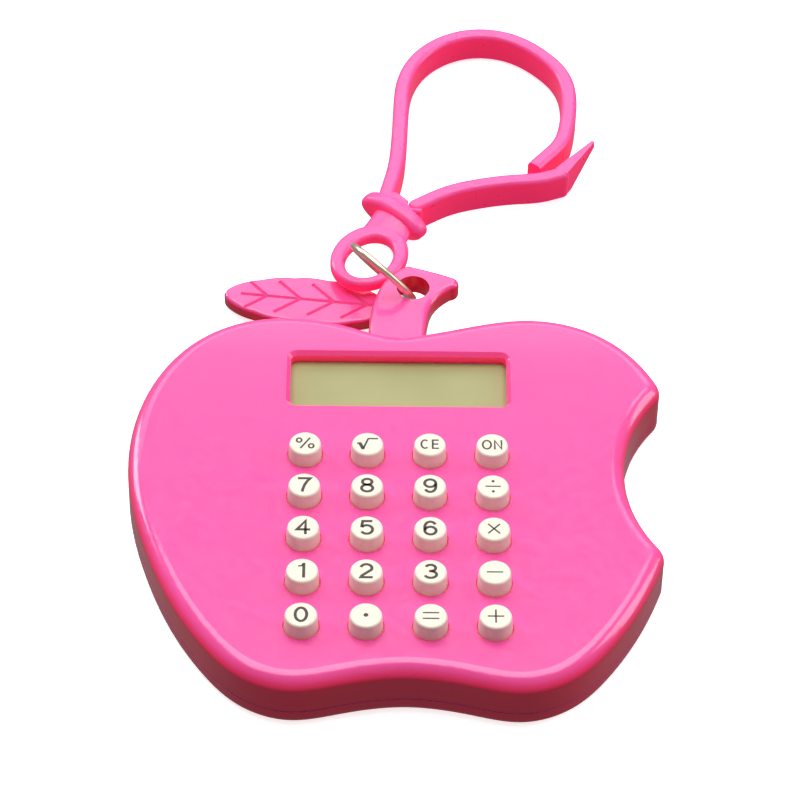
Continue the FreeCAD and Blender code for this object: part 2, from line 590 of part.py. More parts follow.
def battery_cover():
    cover = disc(CELL_X, CELL_Y, COVER_BOTTOM_Z, COVER_TOP_Z, COVER_DIAMETER)
    cover = cover.fuse(disc(CELL_X, CELL_Y, COVER_TOP_Z, PLUG_TOP_Z,
                            PLUG_DIAMETER - 2 * COVER_CLEARANCE))
    half = LUG_WIDTH / 2
    lugs = box(CELL_X - LUG_RADIUS, CELL_X + LUG_RADIUS, CELL_Y - half, CELL_Y + half,
               PLUG_TOP_Z - LUG_THICKNESS, PLUG_TOP_Z)
    lugs = lugs.common(disc(CELL_X, CELL_Y, COVER_TOP_Z, PLUG_TOP_Z, 2 * LUG_RADIUS))
    length, width, depth = COIN_SLOT
    slot = box(CELL_X - length / 2, CELL_X + length / 2, CELL_Y - width / 2, CELL_Y + width / 2,
               COVER_BOTTOM_Z, COVER_BOTTOM_Z + depth)
    return cover.fuse(lugs).cut(slot)


# ---------------------------------------------------------------- stem and leaf
def stem_outline():
    """Flared stem with a raised left shoulder and a tip drawn out to the right."""
    eyelet = V(EYELET_X, EYELET_Y, 0)
    crown, brow, tip, nose, chin = [eyelet + V(*point) for point in (
        STEM_CROWN, STEM_BROW, STEM_TIP, STEM_NOSE, STEM_CHIN)]
    foot_left = V(STEM_BASE_X - STEM_BASE_WIDTH / 2, TONGUE_Y, 0)
    foot_right = V(STEM_BASE_X + STEM_BASE_WIDTH / 2, TONGUE_Y, 0)
    left_side = Part.BSplineCurve()
    left_side.interpolate([foot_left] + [eyelet + V(*p) for p in STEM_LEFT_SIDE] + [crown])
    right_side = Part.BSplineCurve()
    right_side.interpolate([chin] + [eyelet + V(*p) for p in STEM_RIGHT_SIDE] + [foot_right])
    pieces = (left_side, Part.Arc(crown, brow, tip), Part.Arc(tip, nose, chin), right_side,
              Part.LineSegment(foot_right, foot_left))
    return Part.Wire([piece.toShape() for piece in pieces])


def leaf_half_width(along):
    """Half the leaf's width at a fraction of its length from the root."""
    blade = math.sin(math.pi * along ** 0.95) ** 0.5
    tooth = abs(math.sin(math.pi * LEAF_TEETH * along))
    return LEAF_WIDTH / 2 * blade + LEAF_TOOTH * blade * (tooth - 0.5)


def leaf_blade():
    """Toothed blade along +X from the root, before it is turned into place."""
    steps = 8 * LEAF_TEETH
    upper = []
    for step in range(1, steps):
        along = step / steps
        upper.append(V(LEAF_LENGTH * along, leaf_half_width(along), 0))
    lower = [V(p.x, -p.y, 0) for p in reversed(upper)]
    start = V(0, leaf_half_width(1 / steps), 0)
    foot = V(0, -start.y, 0)
    point = V(LEAF_LENGTH, 0, 0)
    top_edge = Part.BSplineCurve()
    top_edge.interpolate([start] + upper[1:] + [point])
    bottom_edge = Part.BSplineCurve()
    bottom_edge.interpolate([point] + lower[:-1] + [foot])
    root = Part.LineSegment(foot, start)
    return prism(Part.Wire([top_edge.toShape(), bottom_edge.toShape(), root.toShape()]),
                 0, LEAF_THICKNESS)


def groove(length):
    """A V groove along +X whose bottom is VEIN_DEPTH below z = 0."""
    section = Part.makePolygon([V(0, -VEIN_WIDTH / 2, VEIN_DEPTH), V(0, VEIN_WIDTH / 2, VEIN_DEPTH),
                                V(0, 0, -VEIN_DEPTH), V(0, -VEIN_WIDTH / 2, VEIN_DEPTH)])
    return Part.Face(section).extrude(V(length, 0, 0))


def leaf():
    blade = leaf_blade()
    rims = [e for e in edges_at(blade, LEAF_THICKNESS) if e.Length > LEAF_WIDTH]
    blade = blade.makeFillet(LEAF_EDGE_RADIUS, rims)
    midrib = groove(0.86 * LEAF_LENGTH)
    midrib.translate(V(0.04 * LEAF_LENGTH, 0, LEAF_THICKNESS))
    blade = blade.cut(midrib)
    for vein in range(1, LEAF_TEETH):
        for side in (-1, 1):
            line = groove(LEAF_WIDTH / 2)
            line.rotate(V(), UP, side * VEIN_TURN)
            line.translate(V(LEAF_LENGTH * (vein / LEAF_TEETH - 0.06), 0, LEAF_THICKNESS))
            blade = blade.cut(line)
    blade.rotate(V(), UP, LEAF_TURN)
    blade.translate(V(LEAF_ROOT[0], LEAF_ROOT[1], LEAF_BOTTOM_Z))
    return blade


def stem_and_leaf():
    stem = prism(stem_outline(), STEM_BOTTOM_Z, STEM_TOP_Z)
    rims = [e for e in edges_at(stem, STEM_TOP_Z) + edges_at(stem, STEM_BOTTOM_Z)
            if e.BoundBox.YMin > TONGUE_Y + 0.5 or e.BoundBox.YLength > 2]
    stem = stem.makeFillet(STEM_EDGE_RADIUS, rims)
    half = TONGUE_WIDTH / 2
    tongue = box(STEM_BASE_X - half, STEM_BASE_X + half, TONGUE_Y - TONGUE_THICKNESS, TONGUE_Y,
                 STEM_BOTTOM_Z, STEM_TOP_Z)
    side = LEAF_BLOCK_WIDTH / 2
    block = box(LEAF_ROOT[0] - LEAF_BLOCK_LENGTH / 2, LEAF_ROOT[0] + LEAF_BLOCK_LENGTH / 2,
                LEAF_ROOT[1] - side, LEAF_ROOT[1] + side, LEAF_BOTTOM_Z,
                STEM_BOTTOM_Z + STEM_EDGE_RADIUS)
    whole = stem.fuse(tongue).fuse(block).fuse(leaf())
    eyelet = disc(EYELET_X, EYELET_Y, 0, BODY_THICKNESS, EYELET_DIAMETER)
    return whole.cut(eyelet)


# ---------------------------------------------------------------- key ring
def key_ring():
    return Part.makeTorus(RING_RADIUS, RING_WIRE_DIAMETER / 2, RING_CENTRE, RING_AXIS)


# ---------------------------------------------------------------- snap hook
def into_place(shape):
    """From the hook's own frame, eye at the origin and nose along +Y, to the row's frame."""
    shape.rotate(V(), V(1, 0, 0), HOOK_DROP)
    shape.rotate(V(), UP, HOOK_HEADING)
    shape.translate(HOOK_EYE)
    return shape


def band(points, start_turn):
    """A strip standing on edge that follows a flat path, its long edges rounded."""
    path = [V(x, y, -BAND_HEIGHT / 2) for x, y in points]
    start = V(math.cos(math.radians(start_turn)), math.sin(math.radians(start_turn)), 0)
    curve = Part.BSplineCurve()
    curve.interpolate(Points=path, InitialTangent=start,
                      FinalTangent=(path[-1] - path[-2]).normalize())
    sides = {-1: [], 1: []}
    first, last = curve.FirstParameter, curve.LastParameter
    for station in range(BAND_STATIONS + 1):
        at = first + (last - first) * station / BAND_STATIONS
        along = curve.tangent(at)[0]
        for side, line in sides.items():
            across = V(-along.y, along.x, 0) * (side * BAND_THICKNESS / 2)
            line.append(curve.value(at) + across)
    left = Part.BSplineCurve()
    left.interpolate(sides[1])
    right = Part.BSplineCurve()
    right.interpolate(sides[-1])
    ends = [Part.LineSegment(sides[1][end], sides[-1][end]) for end in (0, -1)]
    outline = Part.Wire(Part.__sortEdges__([p.toShape() for p in (left, right, *ends)]))
    strip = Part.Face(outline).extrude(V(0, 0, BAND_HEIGHT))
    for z, radius in ((BAND_HEIGHT / 2, BAND_TOP_EDGE), (-BAND_HEIGHT / 2, BAND_LOWER_EDGE)):
        rims = [e for e in edges_at(strip, z) if e.Length > 2 * BAND_HEIGHT]
        strip = strip.makeFillet(radius, rims)
    return strip


def ellipse_wire(y, width, height):
    oval = Part.Ellipse(V(), width / 2, height / 2).toShape()
    wire = Part.Wire(oval)
    wire.rotate(V(), V(1, 0, 0), 90)
    wire.translate(V(0, y, 0))
    return wire


def gate_room():
    """Space the gate's root needs while it swings outwards."""
    x, y = GATE_PIVOT
    tall = BAND_HEIGHT
    room = disc(x, y, -tall, tall, 2 * (GATE_KNUCKLE + GATE_CLEARANCE))
    half = BAND_THICKNESS / 2 + GATE_CLEARANCE
    steps = 4
    for step in range(steps):
        sweep = box(0, GATE_PIVOT[1], -half, half, -tall, tall)
        sweep.rotate(V(), UP, GATE_START_TURN - (GATE_OPENING + 2) * step / (steps - 1))
        sweep.translate(V(x, y, 0))
        room = room.fuse(sweep)
    return room


def eye_plate(width, length):
    """A flat oval plate, longest along the hook."""
    oval = Part.Ellipse(V(), length / 2, width / 2).toShape()
    oval.rotate(V(), UP, 90)
    return prism(Part.Wire(oval), -EYE_HEIGHT / 2, EYE_HEIGHT / 2)


def hook_eye():
    eye = eye_plate(EYE_HOLE_WIDTH + 2 * EYE_RIM, EYE_HOLE_LENGTH + 2 * EYE_RIM)
    hole = eye_plate(EYE_HOLE_WIDTH, EYE_HOLE_LENGTH)
    hole.translate(V(*EYE_HOLE_SHIFT))
    eye = eye.cut(hole)
    rims = edges_at(eye, EYE_HEIGHT / 2) + edges_at(eye, -EYE_HEIGHT / 2)
    return eye.makeFillet(EYE_EDGE, rims)


def collar():
    disc_face = Part.Face(ellipse_wire(-COLLAR_THICKNESS / 2, COLLAR_WIDTH, COLLAR_HEIGHT))
    solid = disc_face.extrude(V(0, COLLAR_THICKNESS, 0))
    solid = solid.makeFillet(COLLAR_EDGE, [e for e in solid.Edges if e.Length > COLLAR_WIDTH])
    solid.rotate(V(), UP, COLLAR_TURN)
    solid.translate(V(*COLLAR_CENTRE))
    return solid


def yoke():
    outline = [V(x, y, -BAND_HEIGHT / 2) for x, y in YOKE + YOKE[:1]]
    web = Part.Face(Part.makePolygon(outline)).extrude(V(0, 0, BAND_HEIGHT))
    return web.makeFillet(YOKE_EDGE, web.Edges)


def loop_points():
    """The loop's path, ending just clear of the gate."""
    start, end = V(*GATE_PATH[2]), V(*GATE_PATH[3])
    along = (end - start).normalize()
    away = V(-along.y, along.x, 0) * (BAND_THICKNESS + LOOP_END_GAP)
    tip = end - along * LOOP_END_BACK + away
    return LOOP_PATH + ((tip.x, tip.y),)


def hook_body():
    neck = Part.makeLoft([ellipse_wire(*section) for section in NECK], True)
    neck.translate(V(NECK_SHIFT, 0, 0))
    whole = hook_eye().fuse(neck).fuse(collar())
    path = loop_points()
    loop = band(path, LOOP_START_TURN).fuse(post(*path[-1], LOOP_END_RADIUS))
    return into_place(whole.fuse(yoke()).fuse(loop).cut(gate_room()))


def post(x, y, radius):
    """An upright pin as tall as the band, with the same rounded rims."""
    half = BAND_HEIGHT / 2
    pin = disc(x, y, -half, half, 2 * radius)
    pin = pin.makeFillet(BAND_TOP_EDGE, edges_at(pin, half))
    return pin.makeFillet(BAND_LOWER_EDGE, edges_at(pin, -half))


def gate_tab():
    """Thumb tab along +X: narrows to its tip while its lower edge rises."""
    half = BAND_HEIGHT / 2
    root = TAB_ROOT_THICKNESS / 2
    tip = TAB_TIP_THICKNESS / 2
    plan = Part.makePolygon([V(0, -root, -half), V(TAB_LENGTH, -tip, -half),
                             V(TAB_LENGTH, tip, -half), V(0, root, -half), V(0, -root, -half)])
    tab = Part.Face(plan).extrude(V(0, 0, BAND_HEIGHT))
    wedge = Part.makePolygon([V(TAB_LEVEL_LENGTH, -root, -half),
                              V(TAB_LENGTH, -root, half - TAB_TIP_HEIGHT),
                              V(TAB_LENGTH, -root, -half), V(TAB_LEVEL_LENGTH, -root, -half)])
    tab = tab.cut(Part.Face(wedge).extrude(V(0, 2 * root, 0)))
    tab.rotate(V(), UP, TAB_TURN)
    tab.translate(V(GATE_PATH[-1][0], GATE_PATH[-1][1], 0))
    return tab


def hook_gate():
    arm = band((GATE_PIVOT,) + GATE_PATH, GATE_START_TURN)
    whole = arm.fuse(post(*GATE_PIVOT, GATE_KNUCKLE)).fuse(post(*GATE_PATH[-1], ELBOW_RADIUS))
    return into_place(whole.fuse(gate_tab()))


# ---------------------------------------------------------------- everything
def build():
    body = whole_case()
    hollow = cavity()
    nodes = {
        "front_case": front_case(body, hollow),
        "rear_case": rear_case(body, hollow),
        "stem_and_leaf": stem_and_leaf(),
        "dome_mat": dome_mat(),
        "carbon_pills": carbon_pills(),
        "circuit_board": circuit_board(),
        "chip_blob": chip_blob(),
        "timing_resistor": chip_part(FACE_AXIS_X + CHIP_PARTS_SPREAD, BLOB_Y, RESISTOR_SIZE),
        "filter_capacitor": chip_part(FACE_AXIS_X - CHIP_PARTS_SPREAD, BLOB_Y, CAPACITOR_SIZE),
        "board_screws": screws(BOARD_SCREWS, BOARD_BOTTOM_Z - BOARD_SCREW_HEAD_HEIGHT,
                               BOARD_SCREW_HEAD_HEIGHT, BOARD_SCREW_HEAD_DIAMETER,
                               BOARD_SCREW_DIAMETER,
                               BOARD_SCREW_HEAD_HEIGHT + BOARD_THICKNESS + BOARD_SCREW_DEPTH
                               - SCREW_CLEARANCE),
        "case_screws": screws(CASE_SCREWS, CASE_SCREW_SUNK, CASE_SCREW_HEAD_HEIGHT,
                              CASE_SCREW_HEAD_DIAMETER, CASE_SCREW_DIAMETER, CASE_SCREW_DEPTH),
        "lcd_front_polariser": display_layer(GLASS_TOP_Z, DISPLAY_TOP_Z, 0),
        "lcd_front_glass": display_layer(GLASS_MIDDLE_Z, GLASS_TOP_Z, 0),
        "lcd_rear_glass": display_layer(GLASS_BOTTOM_Z, GLASS_MIDDLE_Z, CONTACT_LEDGE),
        "lcd_reflector": display_layer(REFLECTOR_BOTTOM_Z, GLASS_BOTTOM_Z, CONTACT_LEDGE),
        "lcd_foam_pad": display_foam(),
        "zebra_strip": zebra_strip(),
        "battery_cell": battery_cell(),
        "battery_contact_negative": negative_contact(),
        "battery_contact_positive": positive_contact(),
        "battery_cover": battery_cover(),
        "key_ring": key_ring(),
        "hook_body": hook_body(),
        "hook_gate": hook_gate(),
    }
    for row, column, x, y in key_centres():
        nodes["key_row%d_col%d" % (row, column)] = key_cap(x, y)
    return nodes


os.makedirs("parts", exist_ok=True)
for name, shape in build().items():
    shape.exportStep("parts/%s.step" % name)
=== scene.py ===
"""Key-ring calculator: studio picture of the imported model, built on its fixed frame."""
import json
import math

import bpy
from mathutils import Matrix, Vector


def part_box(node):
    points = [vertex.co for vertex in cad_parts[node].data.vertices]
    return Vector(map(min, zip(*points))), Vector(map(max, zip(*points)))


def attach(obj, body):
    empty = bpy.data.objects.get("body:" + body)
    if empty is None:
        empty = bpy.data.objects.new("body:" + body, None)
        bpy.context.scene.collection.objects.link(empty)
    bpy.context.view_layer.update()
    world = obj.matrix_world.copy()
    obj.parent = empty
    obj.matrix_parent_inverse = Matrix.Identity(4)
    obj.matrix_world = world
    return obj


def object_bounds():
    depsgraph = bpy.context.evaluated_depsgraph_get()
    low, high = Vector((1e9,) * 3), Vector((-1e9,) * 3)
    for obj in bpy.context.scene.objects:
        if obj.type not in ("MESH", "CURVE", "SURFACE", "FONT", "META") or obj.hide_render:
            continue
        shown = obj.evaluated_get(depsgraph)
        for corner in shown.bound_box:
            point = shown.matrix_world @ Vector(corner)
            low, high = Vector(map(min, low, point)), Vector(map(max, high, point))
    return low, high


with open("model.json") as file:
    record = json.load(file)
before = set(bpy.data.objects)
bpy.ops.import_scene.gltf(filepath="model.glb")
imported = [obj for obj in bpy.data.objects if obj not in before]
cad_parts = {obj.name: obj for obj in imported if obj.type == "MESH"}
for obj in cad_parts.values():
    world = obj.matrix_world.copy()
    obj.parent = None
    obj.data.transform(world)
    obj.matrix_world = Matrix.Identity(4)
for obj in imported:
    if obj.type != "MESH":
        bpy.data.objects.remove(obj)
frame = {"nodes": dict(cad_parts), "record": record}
nodes = frame["nodes"]
box_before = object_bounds()

MM = 0.001
SHARP_EDGE = 32.0          # degrees between two faces from which their edge stays sharp
IOR_PLASTIC = 1.5


# ------------------------------------------------------------------ materials
MIX_A, MIX_B, MIX_RESULT = 6, 7, 2     # colour sockets of a Mix node


class Graph:
    """A small helper that builds one node material from the coordinates of the frame, in metres."""

    def __init__(self, name):
        self.material = bpy.data.materials.new(name)
        self.material.use_nodes = True
        self.tree = self.material.node_tree
        self.tree.nodes.clear()
        self.out = self.node("ShaderNodeOutputMaterial")
        self.bsdf = self.node("ShaderNodeBsdfPrincipled")
        self.link(self.bsdf, "BSDF", self.out, "Surface")
        self.coords = self.node("ShaderNodeTexCoord")

    def node(self, kind, **settings):
        made = self.tree.nodes.new(kind)
        for key, value in settings.items():
            setattr(made, key, value)
        return made

    def link(self, a, a_socket, b, b_socket):
        self.tree.links.new(a.outputs[a_socket], b.inputs[b_socket])

    def noise(self, scale, detail=3.0, rough=0.5, stretch=(1, 1, 1), turn=(0, 0, 0)):
        mapping = self.node("ShaderNodeMapping")
        mapping.inputs["Scale"].default_value = stretch
        mapping.inputs["Rotation"].default_value = turn
        self.link(self.coords, "Object", mapping, "Vector")
        made = self.node("ShaderNodeTexNoise")
        made.inputs["Scale"].default_value = scale
        made.inputs["Detail"].default_value = detail
        made.inputs["Roughness"].default_value = rough
        self.link(mapping, "Vector", made, "Vector")
        return made

    def span(self, source, socket, low, high, to_low, to_high):
        """Spreads a value from low..high to to_low..to_high, held at the ends."""
        made = self.node("ShaderNodeMapRange")
        for name, value in (("From Min", low), ("From Max", high),
                            ("To Min", to_low), ("To Max", to_high)):
            made.inputs[name].default_value = value
        self.link(source, socket, made, "Value")
        return made

    def mix(self, a, b, factor):
        """a and b are colours or (node, socket) pairs; the answer is such a pair."""
        made = self.node("ShaderNodeMix", data_type="RGBA")
        for value, index in ((a, MIX_A), (b, MIX_B)):
            if isinstance(value[0], bpy.types.Node):
                self.link(*value, made, index)
            else:
                made.inputs[index].default_value = (*value, 1)
        self.link(factor, "Result", made, 0)
        return made, MIX_RESULT

    def product(self, a, a_socket, b, b_socket):
        made = self.node("ShaderNodeMath", operation="MULTIPLY")
        self.link(a, a_socket, made, 0)
        self.link(b, b_socket, made, 1)
        return made

    def colour(self, pair):
        self.link(*pair, self.bsdf, "Base Color")

    def roughness(self, source, low, high):
        """Roughness from low to high over the middle of a noise."""
        self.link(self.span(source, "Fac", 0.3, 0.7, low, high), "Result", self.bsdf, "Roughness")

    def settings(self, **values):
        for name, value in values.items():
            self.bsdf.inputs[name.replace("_", " ")].default_value = value

    def bump(self, source, socket, strength, distance, after=None):
        made = self.node("ShaderNodeBump")
        made.inputs["Strength"].default_value = strength
        made.inputs["Distance"].default_value = distance
        self.link(source, socket, made, "Height")
        if after is not None:
            self.link(after, "Normal", made, "Normal")
        self.link(made, "Normal", self.bsdf, "Normal")
        return made


def scratches(g, scale, turn):
    """A mask that is 1 on sparse hairline scratches."""
    lines = g.noise(scale, 2.0, 0.4, stretch=(1.0, 0.02, 1.0), turn=(0, 0, turn))
    patch = g.noise(55.0, 1.0)
    thin = g.span(lines, "Fac", 0.705, 0.72, 0.0, 1.0)
    where = g.span(patch, "Fac", 0.48, 0.60, 0.0, 1.0)
    return g.product(thin, "Result", where, "Result")


def moulded(name, painted_shade_colour, painted_lit_colour, rough, coat, orange_peel, painted_shade_ramp, scatter, painted_glow):
    """Coloured plastic with painted light: its walls take a painted shade colour, and its faces
    turned up to the light take a painted lit colour.

    rough is the lowest and highest roughness; orange_peel the scale and strength of the mould's
    ripple; painted_shade_ramp the upward share of the normal at which the painted shade colour
    begins to turn into the painted lit colour and has turned; scatter the weight and length of the
    light scattered below the surface; glow the strength of a painted glow, emission on the walls
    that stands in for light let through the plastic, and the heights in mm where it starts and is
    full."""
    g = Graph(name)
    geometry = g.node("ShaderNodeNewGeometry")
    normal = g.node("ShaderNodeSeparateXYZ")
    g.link(geometry, "Normal", normal, "Vector")
    # Painted light: walls get the painted shade colour and faces turned up get the painted lit
    # colour, blended by the upward share of the normal.
    painted_light_blend = g.span(normal, "Z", *painted_shade_ramp, 0.0, 1.0)
    painted_light_blend.interpolation_type = "SMOOTHSTEP"
    base = g.mix(painted_shade_colour, painted_lit_colour, painted_light_blend)
    drift = g.span(g.noise(45.0, 3.0), "Fac", 0.35, 0.65, 0.0, 0.06)
    base = g.mix(base, tuple(0.82 * c for c in painted_lit_colour), drift)
    dust = g.span(g.noise(5200.0, 1.0), "Fac", 0.74, 0.78, 0.0, 0.05)
    g.colour(g.mix(base, (0.95, 0.80, 0.86), dust))

    marks = scratches(g, 900.0, 0.6)
    grain = g.noise(700.0, 4.0)
    worn = g.node("ShaderNodeMath", operation="ADD")
    g.link(g.span(grain, "Fac", 0.3, 0.7, *rough), "Result", worn, 0)
    g.link(g.span(marks, 0, 0.0, 1.0, 0.0, 0.015), "Result", worn, 1)
    g.link(worn, 0, g.bsdf, "Roughness")
    peel_scale, peel_strength = orange_peel
    peel = g.bump(g.noise(peel_scale, 2.0), "Fac", peel_strength, 0.0002)
    g.bump(grain, "Fac", 0.04, 0.0001, after=peel)

    # Painted glow: walls above a set height emit light as if lit through the plastic, though the
    # plastic is no lamp.
    strength, painted_glow_start, painted_glow_full = painted_glow
    height = g.node("ShaderNodeSeparateXYZ")
    g.link(g.coords, "Object", height, "Vector")
    painted_glow_by_height = g.span(height, "Z", painted_glow_start * MM, painted_glow_full * MM, 0.0, strength)
    painted_glow_on_walls = g.span(normal, "Z", *painted_shade_ramp, 1.0, 0.0)
    g.link(g.product(painted_glow_by_height, "Result", painted_glow_on_walls, "Result"), 0, g.bsdf, "Emission Strength")

    weight, length = scatter
    # Emission_Color is the colour of the painted glow; the subsurface scatter is the plastic's own.
    g.settings(Emission_Color=(1.0, 0.02, 0.13, 1), Subsurface_Weight=weight,
               Subsurface_Radius=(1.0, 0.22, 0.35), Subsurface_Scale=length,
               Coat_Weight=coat, Coat_Roughness=0.05, IOR=IOR_PLASTIC)
    return g.material


def key_plastic(name, body, stain):
    """Cream plastic, a little cloudy, with faint grime from fingers."""
    g = Graph(name)
    shade = g.span(g.noise(260.0, 4.0), "Fac", 0.35, 0.7, 0.0, 0.35)
    base = g.mix(body, tuple(0.9 * c for c in body), shade)
    grime = g.span(g.noise(1500.0, 3.0), "Fac", 0.60, 0.78, 0.0, 0.30)
    g.colour(g.mix(base, stain, grime))
    grain = g.noise(3500.0, 3.0)
    g.roughness(grain, 0.30, 0.48)
    g.bump(grain, "Fac", 0.10, 0.00008)
    g.settings(Subsurface_Weight=0.08, Subsurface_Radius=(1.0, 0.7, 0.5), Subsurface_Scale=0.0006)
    return g.material


def ink(name, colour):
    """Printing ink that has worn a little thin in places."""
    g = Graph(name)
    worn = g.noise(2600.0, 5.0, 0.65)
    fade = g.span(worn, "Fac", 0.56, 0.85, 0.0, 0.30)
    g.colour(g.mix(colour, tuple(min(1.0, 3.5 * c + 0.05) for c in colour), fade))
    g.roughness(worn, 0.35, 0.6)
    g.bump(worn, "Fac", 0.1, 0.00005)
    return g.material


def metal(name, light, dark, rough, brushed=1.0):
    """Metal with dull patches; brushed under 1 draws its grain out along Y."""
    g = Graph(name)
    cloud = g.noise(500.0, 4.0, 0.6, stretch=(1, brushed, 1))
    tarnish = g.span(cloud, "Fac", 0.4, 0.75, 0.0, 0.8)
    g.colour(g.mix(light, dark, tarnish))
    g.roughness(cloud, *rough)
    g.bump(g.noise(3000.0, 2.0, 0.5, stretch=(1, brushed, 1)), "Fac", 0.08, 0.00004)
    g.settings(Metallic=1.0)
    return g.material


def simple(name, colour, second, rough, scale, bump, metallic=0.0):
    """An inside piece: two mixed shades with a grain of the given scale."""
    g = Graph(name)
    cloud = g.noise(scale, 4.0)
    g.colour(g.mix(colour, second, g.span(cloud, "Fac", 0.35, 0.65, 0.0, 1.0)))
    g.roughness(cloud, *rough)
    g.bump(g.noise(scale * 4, 3.0), "Fac", bump, 0.0001)
    g.settings(Metallic=metallic)
    return g.material


def display_film():
    """Greenish grey display seen through its matt front film."""
    g = Graph("display_film")
    cloud = g.span(g.noise(90.0, 2.0), "Fac", 0.35, 0.65, 0.0, 1.0)
    base = g.mix((0.33, 0.33, 0.130), (0.37, 0.37, 0.155), cloud)
    cells = g.noise(6000.0, 1.0)
    g.colour(g.mix(base, (0.27, 0.275, 0.105), g.span(cells, "Fac", 0.6, 0.8, 0.0, 0.35)))
    g.roughness(g.noise(180.0, 5.0, 0.65, stretch=(1, 0.3, 1)), 0.34, 0.44)
    g.bump(cells, "Fac", 0.03, 0.00004)
    return g.material


# Each plastic gets a painted shade colour for its walls, a painted lit colour for faces turned up,
# and a painted glow on its walls.
CASE = moulded("case_pink", painted_shade_colour=(0.86, 0.006, 0.07), painted_lit_colour=(0.99, 0.095, 0.39),
               rough=(0.16, 0.26), coat=0.5, orange_peel=(160.0, 0.08), painted_shade_ramp=(0.15, 0.95),
               scatter=(0.40, 0.0025), painted_glow=(0.36, 6.9, 7.7))
HOOK = moulded("hook_pink", painted_shade_colour=(0.98, 0.022, 0.16), painted_lit_colour=(0.99, 0.105, 0.40),
               rough=(0.26, 0.40), coat=0.15, orange_peel=(240.0, 0.12), painted_shade_ramp=(-0.1, 0.85),
               scatter=(0.50, 0.0030), painted_glow=(0.42, -2.0, -1.0))
KEY = key_plastic("key_cream", (0.88, 0.80, 0.67), (0.66, 0.52, 0.40))
INK = ink("legend_ink", (0.040, 0.028, 0.020))
MATERIALS = {
    "case_pink": CASE,
    "hook_pink": HOOK,
    "key_cream": KEY,
    "silicone_grey": simple("silicone_grey", (0.5, 0.51, 0.52), (0.42, 0.43, 0.44),
                            (0.5, 0.7), 400.0, 0.1),
    "carbon_black": simple("carbon_black", (0.02, 0.02, 0.02), (0.05, 0.05, 0.05),
                           (0.6, 0.8), 900.0, 0.2),
    "board_green": simple("board_green", (0.03, 0.20, 0.09), (0.05, 0.26, 0.12),
                          (0.3, 0.5), 120.0, 0.1),
    "epoxy_black": simple("epoxy_black", (0.01, 0.01, 0.01), (0.03, 0.03, 0.03),
                          (0.1, 0.3), 300.0, 0.2),
    "chip_ceramic": simple("chip_ceramic", (0.30, 0.20, 0.13), (0.36, 0.25, 0.17),
                           (0.4, 0.6), 900.0, 0.1),
    "screw_steel": metal("screw_steel", (0.62, 0.61, 0.58), (0.40, 0.38, 0.34), (0.25, 0.45)),
    "polariser": display_film(),
    "display_glass": simple("display_glass", (0.55, 0.58, 0.40), (0.58, 0.60, 0.42),
                            (0.05, 0.15), 100.0, 0.02),
    "reflector": simple("reflector", (0.5, 0.52, 0.4), (0.56, 0.57, 0.44),
                        (0.3, 0.5), 200.0, 0.05, metallic=0.8),
    "foam_black": simple("foam_black", (0.03, 0.03, 0.03), (0.06, 0.06, 0.06),
                         (0.8, 0.95), 2000.0, 0.4),
    "zebra_rubber": simple("zebra_rubber", (0.75, 0.45, 0.50), (0.25, 0.20, 0.20),
                           (0.5, 0.7), 1500.0, 0.2),
    "cell_steel": metal("cell_steel", (0.76, 0.76, 0.75), (0.55, 0.54, 0.52), (0.12, 0.28)),
    "contact_steel": metal("contact_steel", (0.72, 0.70, 0.62), (0.5, 0.47, 0.4),
                           (0.2, 0.4), brushed=0.1),
    "ring_nickel": metal("ring_nickel", (0.96, 0.88, 0.66), (0.80, 0.66, 0.42), (0.26, 0.42)),
}

slot_of = {part["node"]: part["material_slot"] for part in frame["record"]["subparts"]}
for name, node in nodes.items():
    node.data.materials.clear()
    node.data.materials.append(MATERIALS[slot_of[name]])
    node.data.shade_smooth()
    edges = node.modifiers.new("smooth_by_angle", "EDGE_SPLIT")
    edges.split_angle = math.radians(SHARP_EDGE)


# ------------------------------------------------------------------ key legends
# Strokes in mm from the middle of the key: the points of a line, and its width.
INK_THICKNESS = 0.012
INK_PROUD = 0.002          # how much of the print stands above the key
BOLD = 0.43
FINE = 0.28
OPERATOR = 0.24
MITRE_LEAST_COSINE = 0.3
MITRE_LONGEST = 2.2
SAME_POINT = 1e-6


def arc(x, y, rx, ry, start, end, steps=28):
    """Points of an elliptical arc, degrees anticlockwise from +X."""
    turns = [math.radians(start + (end - start) * i / steps) for i in range(steps + 1)]
    return [(x + rx * math.cos(t), y + ry * math.sin(t)) for t in turns]


def oval(x, y, rx, ry):
    """A whole ellipse: its last point is its first."""
    return arc(x, y, rx, ry, 0, 360)


def moved(strokes, x):
    return [([(x + px, py) for px, py in line], width) for line, width in strokes]


